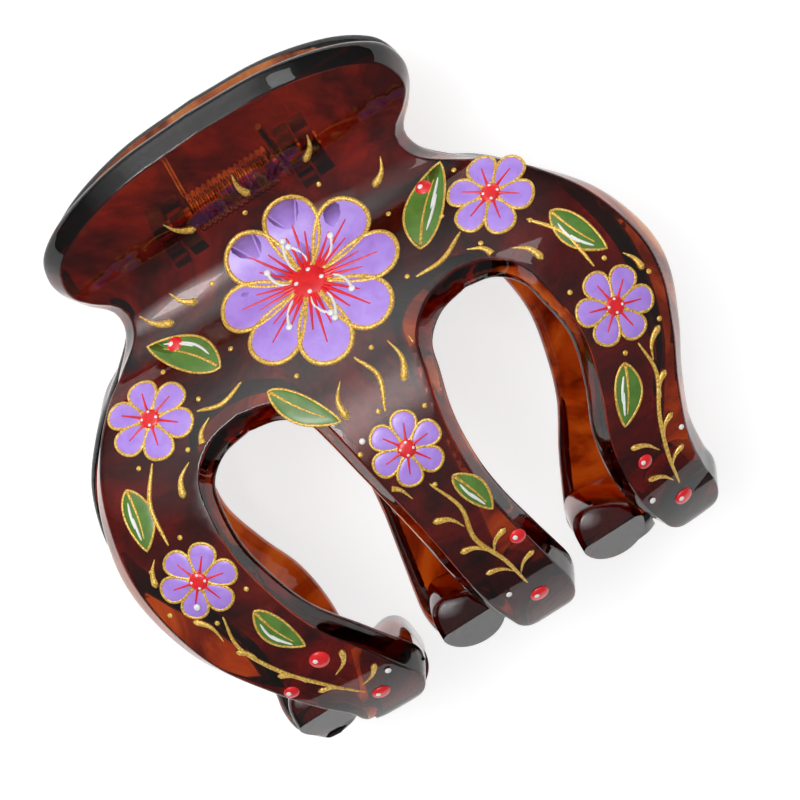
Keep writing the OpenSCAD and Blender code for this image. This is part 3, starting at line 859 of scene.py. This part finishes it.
# %% Where the gold vines and drops go
VINES = [
    [(-10.4, 14.6), (-13.4, 15.6), (-16.2, 14.8)], [(11.6, 15.2), (15, 15.2), (18.2, 13.6)],
    [(-23.4, 17.4), (-26, 21.4), (-26.6, 26.2)], [(25, 16.8), (27.6, 20.6), (28.4, 25.4)],
    [(1.4, 19.2), (2.6, 22.4), (1.2, 26)],
    [(-25.9, 36), (-26.4, 40.2), (-24.2, 45.4), (-21, 50.4), (-18, 55)],
    [(28, 35), (28, 39), (25.8, 43.6), (24.4, 48.6), (23.8, 53.6)],
    [(1, 35.2), (2.4, 39.4), (1.8, 43.6), (3.2, 48.4), (3.8, 53.4)],
]
COMMAS = [  # start, end, bow, thickness
    ((-16.6, 0.6), (-13.6, 3.2), 0.14, 0.5), ((-12.4, 0.2), (-10.2, 2.6), 0.14, 0.46),
    ((19.2, 0.4), (16.4, 3.0), -0.14, 0.5), ((15.2, 0.0), (12.8, 2.4), -0.14, 0.46),
    ((-8.6, -7.4), (-6, -4.4), 0.12, 0.46), ((0.6, -8.2), (1, -4.4), 0.1, 0.5),
    ((9.8, -7.2), (8, -4.2), -0.12, 0.46), ((-15.4, 16.2), (-17.6, 19.4), 0.18, 0.46),
    ((-19.8, 19.4), (-22.4, 22.6), 0.14, 0.46), ((-28.4, 14.4), (-26.4, 17.6), 0.14, 0.42),
    ((17.8, 15.8), (20, 18.8), -0.18, 0.46), ((22, 18.6), (24.2, 21.6), -0.14, 0.46),
    ((30.6, 15), (28.4, 18.2), -0.14, 0.42), ((-1.2, 20.6), (-2.6, 24.6), 0.16, 0.44),
    ((5.4, 19.6), (4.6, 24.4), -0.16, 0.44), ((7.6, 20.4), (7, 23.8), -0.1, 0.38),
    ((-28.8, 26.8), (-30.4, 29.6), 0.1, 0.42), ((31.8, 26), (32.8, 28.8), -0.1, 0.42),
    ((-27.4, 38.6), (-29, 34.8), 0.14, 0.4), ((-25.4, 43.4), (-27, 40.4), 0.14, 0.42),
    ((-22.6, 48.6), (-24.8, 45.8), 0.14, 0.42), ((-19.6, 52.8), (-22.2, 50.8), 0.14, 0.4),
    ((-19.4, 49.8), (-17.2, 47), 0.16, 0.4), ((-17.8, 53.6), (-15.2, 51.4), 0.16, 0.38),
    ((28.4, 37.6), (31, 34.8), -0.14, 0.4), ((27, 41.8), (29, 39.4), -0.14, 0.42),
    ((25, 46.4), (27.2, 44.2), -0.14, 0.4), ((24, 50.8), (26.4, 48.8), -0.14, 0.4),
    ((23.8, 47.4), (21.2, 45), 0.14, 0.4), ((23.4, 52.6), (21, 50.2), 0.14, 0.38),
    ((1.6, 41.6), (-1, 39.2), 0.16, 0.4), ((2.4, 46.2), (-0.4, 44.2), 0.16, 0.4),
    ((3.4, 50.6), (0.6, 48.6), 0.14, 0.38), ((2.6, 46.8), (5.2, 44.6), -0.16, 0.4),
    ((3.8, 51.4), (6.4, 49.4), -0.14, 0.38), ((-1.4, 35.6), (-3.4, 33), 0.14, 0.38),
]

# %% Gold lines, veins, red rays and white lights
VINE_THICK, LEAF_EDGE, GLINT = 0.32, 0.17, 0.17
gold_lines = [stroke(points, VINE_THICK) for points in VINES] + [comma(*row) for row in COMMAS] + outlines
gold_veins, red_lines, white_lines = [], [], []
for base, tip, width, bow in LEAVES:
    shape = leaf(base, tip, width, bow)
    gold_lines.append((np.vstack([shape, shape[:1]]), LEAF_EDGE))
    way = np.array(tip, float) - base
    cross = sideways(way) / np.linalg.norm(way)
    t = np.linspace(0.04, 0.8, 14)
    vein = base + t[:, None] * way + cross * (0.8 * bow * np.sin(math.pi * t))[:, None]
    gold_veins.append((vein, np.linspace(0.2, 0.08, 14)))
    for near, far, out in ((0.2, 0.62, 0.26), (0.45, 0.82, 0.2)):
        q = np.linspace(near, far, 4)[:, None]
        line = base + way * q + cross * (out * width + bow) * np.sin(math.pi * q)
        white_lines.append(stroke(line, GLINT))

for x, s, r, count, turn in FLOWERS:
    for k in range(count):
        for off, length in ((-10, 0.6), (0, 0.78), (10, 0.6)) if count > 6 else ((0, 0.68),):
            q = r * np.linspace(0.18, length, 8)
            ray = pointed(q, 0 * q, turn + 360 * k / count + off, (x, s))
            red_lines.append((ray, np.linspace(0.1 + 0.018 * r, 0.09, 8)))

STAMENS = [  # angle, reach, bend
    (20, 5.4, 0.5), (66, 6.0, 0.35), (110, 5.2, -0.4), (158, 5.9, -0.35),
    (205, 5.3, 0.4), (250, 6.1, 0.3), (292, 5.2, -0.4), (338, 5.8, -0.3),
]
stamen_ends, (heart_x, heart_s) = [], FLOWERS[0][:2]
for angle, reach, bow in STAMENS:
    q = np.linspace(2.2, reach, 10)
    a = math.radians(angle) + bow * ((q - 2.2) / (reach - 2.2)) ** 1.5
    line = np.stack([heart_x + q * np.cos(a), heart_s + q * np.sin(a)], -1)
    white_lines.append((line, np.linspace(0.13, 0.2, 10)))
    stamen_ends.append((*line[-1], 0.4))


def lines(name, colour, paths, lift=0.0):
    """Brush lines as one piece that moves with the front jaw."""
    made = grown(name, liner, colour, paths_mesh(name, paths, lift), fullness=1.0)
    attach(made, "front")
    return made


lines("paint_gold_lines", GOLD, gold_lines)
lines("paint_gold_veins", GOLD, gold_veins, 0.12)
lines("paint_red_lines", RED, red_lines, 0.12)
lines("paint_white_lines", WHITE, white_lines, 0.16)

# %% [markdown]
# ## Dots
# Dots are one touch of the brush each: berries beside the vines, gold beads between the petals,
# and white lights on the berries, the hearts and the ends of the threads. The tree puts a
# flattened ball on every point, turned so that it lies on the face, and scales it with the
# point's own size.

# %% Balls on points
dotter, group_in, group_out = new_tree("Paint dots", [("Flatness", 0.45)])
ball = add(dotter, "GeometryNodeMeshUVSphere", Segments=16, Rings=8, Radius=1.0)
squash = add(dotter, "ShaderNodeCombineXYZ", X=1.0, Y=1.0, Z=group_in.outputs["Flatness"])
flat_ball = add(dotter, "GeometryNodeTransform", Geometry=ball.outputs[0], Scale=squash.outputs[0])
up = add(dotter, "GeometryNodeInputNamedAttribute", {"data_type": "FLOAT_VECTOR"}, Name="up")
size = add(dotter, "GeometryNodeInputNamedAttribute", {"data_type": "FLOAT"}, Name="size")
facing = add(dotter, "FunctionNodeAlignRotationToVector", {"axis": "Z"}, Vector=up.outputs["Attribute"])
spread = add(
    dotter, "GeometryNodeInstanceOnPoints", Points=group_in.outputs["Geometry"], Instance=flat_ball.outputs[0],
    Rotation=facing.outputs[0], Scale=size.outputs["Attribute"],
)
close(dotter, group_in, group_out, spread.outputs[0])


def dots(name, colour, rows, flatness=0.45, lift=0.0):
    """Dots from (x, s, radius) rows."""
    rows = np.array(rows, float)
    rows = rows[inside(rows[:, :2], SAFE)]
    places, normals = on_jaw(rows[:, :2], lift)
    mesh = bpy.data.meshes.new(name)
    mesh.from_pydata((places * MM).tolist(), [], [])
    mark(mesh, "size", "FLOAT", rows[:, 2] * MM)
    mark(mesh, "up", "FLOAT_VECTOR", normals)
    made = grown(name, dotter, colour, mesh, flatness=flatness)
    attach(made, "front")
    return made


def circled(x, s, r, angles, size):
    """Dots of one size on a circle, at angles in degrees."""
    return [(x + r * math.cos(a), s + r * math.sin(a), size) for a in np.radians(angles)]


# %% Berries, beads and lights
BERRIES = [
    (-19.8, 46.6, 1.2), (-16.6, 56.6, 1.1), (-24.6, 48.8, 0.9), (23.4, 56.2, 1.15),
    (27.4, 46.6, 0.95), (21.8, 47.6, 0.9), (4.2, 56.4, 1.15), (5.8, 46.4, 0.95),
    (-1.2, 46.2, 0.85), (-14.8, 5.6, 1.0), (17.4, 5.8, 1.0), (-5.4, 21.6, 0.9),
]
LOOSE_LIGHTS = [
    (-27.6, 33.6, 0.4), (-2.6, 27.4, 0.35), (5.6, 33.2, 0.35), (-14.4, 53.4, 0.38),
    (20.2, 53.2, 0.38), (1.4, 53.2, 0.36), (7, 52.6, 0.36),
]
beads, lights = [], [(x - 0.3 * r, s - 0.2 * r, 0.34 * r) for x, s, r in BERRIES] + stamen_ends
for x, s, r, n, turn in FLOWERS:
    beads += circled(x, s, r + 0.9, turn + 180 / n + 360 / n * np.arange(n), 0.3)
    lights += circled(x, s, (0.2 * r + 0.3) * 0.62, [20, 110, 200, 290], 0.1 + 0.018 * r)
lights += LOOSE_LIGHTS
dots("paint_berries", RED, BERRIES, 0.32)
dots("paint_gold_beads", GOLD, beads)
dots("paint_white_dots", WHITE, lights, 0.5, 0.2)

# %% [markdown]
# ## Floor, light and camera
# The clip lies on a plain white table under soft studio light, and the camera looks almost
# straight down on it. Gloss shows what hangs above it, so the room itself glows softly: a broad
# patch high up gives the grey sheen on the shoulders, a weaker one behind lights the rim of the
# thumb plate, and the rest stays darker than the table. Two small soft lamps add brighter spots.

# %% Table
bpy.ops.mesh.primitive_plane_add(size=6)
table = bpy.context.object
table.name = "table"
surface, tree, shader, _ = material("white_table")
stops = [(0.3, (0.46, 0.46, 0.46)), (0.7, (0.48, 0.48, 0.48))]
tree.links.new(ramp(tree, noise(tree, 14.0, 3.0), stops), shader.inputs["Base Color"])
set_own(shader, Roughness=0.7, Specular_IOR_Level=0.2, Emission_Color=(1, 1, 1, 1), Emission_Strength=0.72)
table.data.materials.append(surface)
table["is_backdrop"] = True


# %% Lamps and the glow of the room
def soft_box(name, place, aim, size, watts):
    """A square lamp that looks at a point."""
    lamp = bpy.data.lights.new(name, "AREA")
    lamp.shape, lamp.size, lamp.size_y, lamp.energy = "RECTANGLE", size, size, watts
    made = bpy.data.objects.new(name, lamp)
    made.location = place
    made.rotation_mode = "QUATERNION"
    made.rotation_quaternion = (Vector(aim) - Vector(place)).to_track_quat("-Z", "Y")
    bpy.context.scene.collection.objects.link(made)
    return made


soft_box("spark", (-0.2, 0.25, 0.8), (0, 0, 0.02), 0.2, 0.7)
soft_box("far_spark", (0.35, 0.5, 0.6), (0, 0, 0.02), 0.15, 0.2)


def glow(tree, direction, stops):
    """Brightness of the room by the angle to a direction, given as (cosine, brightness) pairs."""
    way = add(tree, "ShaderNodeTexCoord").outputs["Generated"]
    aim = Vector(direction).normalized()
    near = add(tree, "ShaderNodeVectorMath", {"operation": "DOT_PRODUCT"}, _0=way, _1=aim)
    return ramp(tree, near.outputs["Value"], [(cosine, (value,) * 3) for cosine, value in stops])


ROOM_LIGHT = 5.0
world = bpy.data.worlds.new("room")
world.use_nodes = True
room = world.node_tree
dome = glow(room, (0, 0, 1), [(0.0, 0.03), (0.5, 0.05), (1.0, 0.09)])
key = glow(room, (-0.23, 0.29, 0.93), [(0.93, 0.0), (0.965, 0.32), (0.99, 1.0)])
rear = glow(room, (-0.1, 0.75, 0.65), [(0.75, 0.0), (0.93, 0.16), (1.0, 0.4)])
both = add(room, "ShaderNodeVectorMath", {"operation": "ADD"}, _0=key, _1=rear)
total = add(room, "ShaderNodeVectorMath", {"operation": "ADD"}, _0=dome, _1=both.outputs[0])
room.links.new(total.outputs[0], room.nodes["Background"].inputs["Color"])
room.nodes["Background"].inputs["Strength"].default_value = ROOM_LIGHT
bpy.context.scene.world = world
bpy.context.scene.view_settings.view_transform = "Standard"
print("lights:", [lamp.name for lamp in bpy.data.lights], "and the glow of the room")

# %% [markdown]
# ## The camera
# The camera looks down at the shoulder of the front jaw from a little to one side, and is rolled,
# so the clip lies askew in the picture. FOCUS is the focal length in pixels and MIDDLE the pixel
# where the target falls. The camera is turned by the small angle between that pixel and the
# middle of the frame, which needs no shift of the lens.

# %% Camera
TURN, RISE, ROLL, AWAY = math.radians(3), math.radians(6.5), math.radians(32.8), 0.380
PIXELS, FOCUS, MIDDLE, SENSOR = 800, 3389.6, (321.3, 315.3), 36
target = HINGE * MM + Vector((0, -0.018, 0))
back = Vector((math.sin(TURN) * math.cos(RISE), math.sin(RISE), math.cos(TURN) * math.cos(RISE)))
across = Vector((math.cos(TURN), 0, -math.sin(TURN)))
upward = across.cross(-back)
right_of = across * math.cos(ROLL) - upward * math.sin(ROLL)
up_of = across * math.sin(ROLL) + upward * math.cos(ROLL)
look = -back + right_of * (PIXELS / 2 - MIDDLE[0]) / FOCUS - up_of * (PIXELS / 2 - MIDDLE[1]) / FOCUS
look.normalize()
side = (right_of - right_of.dot(look) * look).normalized()
top = side.cross(look)
lens = bpy.data.cameras.new("camera")
lens.sensor_width = SENSOR
lens.lens = FOCUS / PIXELS * SENSOR
lens.clip_start, lens.clip_end = 0.01, 20
camera = bpy.data.objects.new("camera", lens)
stance = Matrix((side, top, -look)).transposed().to_4x4()
camera.matrix_world = Matrix.Translation(target + back * AWAY) @ stance
bpy.context.scene.collection.objects.link(camera)
bpy.context.scene.camera = camera
print("camera", [round(v, 3) for v in camera.location], "lens", round(lens.lens, 1))

# %% [markdown]
# ## Sizes
# The paint stands a little proud of the jaw, so the boxes of the dressed model and of the imported one are both
# printed. The dressed model may stand out from the imported one by little more than the thickness of the paint.

# %% Sizes
bpy.context.view_layer.update()
own_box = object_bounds()
for label, box in (("visual", own_box), ("CAD", cad_box)):
    print(label, "box in mm:", [[round(x / MM, 2) for x in v] for v in box])
